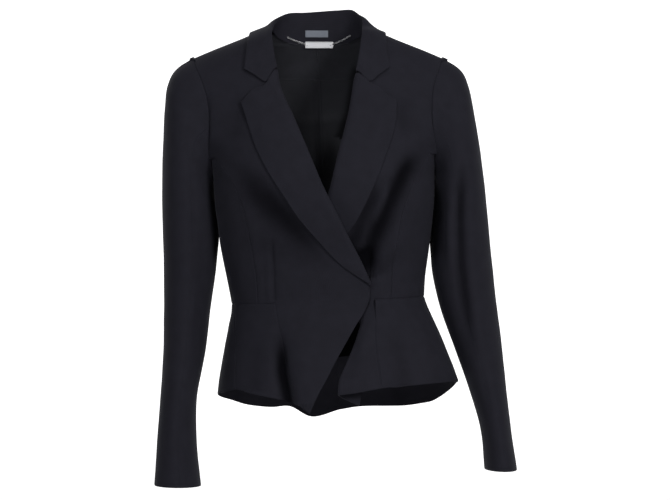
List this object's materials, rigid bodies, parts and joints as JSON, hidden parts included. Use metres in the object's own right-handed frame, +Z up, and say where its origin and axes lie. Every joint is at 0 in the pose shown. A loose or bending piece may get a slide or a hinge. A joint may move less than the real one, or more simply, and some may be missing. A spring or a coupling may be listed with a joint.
{
  "type": "peplum jacket",
  "caption": "Fitted peplum jacket with notched lapels, crossed front, flared pointed hem and long two-piece sleeves, held in its worn hollow form.",
  "frame": {"origin": "centre of the neck opening at the height of the back neck seam, where a wearer's neck and shoulders hold the jacket", "axes": "+Z up, -Y the front, +X the wearer's left"},
  "size_m": [0.5379, 0.2679, 0.7113],
  "materials": {
    "jacket_cloth": "matte fine weave",
    "lining": "satin",
    "label_cloth": "satin weave",
    "polished_steel": "polished"
  },
  "bodies": {
    "root": {"back_left": "jacket_cloth", "back_right": "jacket_cloth", "collar": "jacket_cloth", "front_left": "jacket_cloth", "front_right": "jacket_cloth", "hanger_chain_left": "polished_steel", "hanger_chain_right": "polished_steel", "hanger_plate": "polished_steel", "lapel_left": "jacket_cloth", "lapel_right": "jacket_cloth", "lining_back_left": "lining", "lining_back_right": "lining", "neck_facing_left": "jacket_cloth", "neck_facing_right": "jacket_cloth", "neck_label": "label_cloth", "peplum_back_left": "jacket_cloth", "peplum_back_right": "jacket_cloth", "peplum_side_left": "jacket_cloth", "peplum_side_right": "jacket_cloth", "side_front_left": "jacket_cloth", "side_front_right": "jacket_cloth", "sleeve_top_left": "jacket_cloth", "sleeve_top_right": "jacket_cloth", "sleeve_under_left": "jacket_cloth", "sleeve_under_right": "jacket_cloth"}
  },
  "joints": []
}
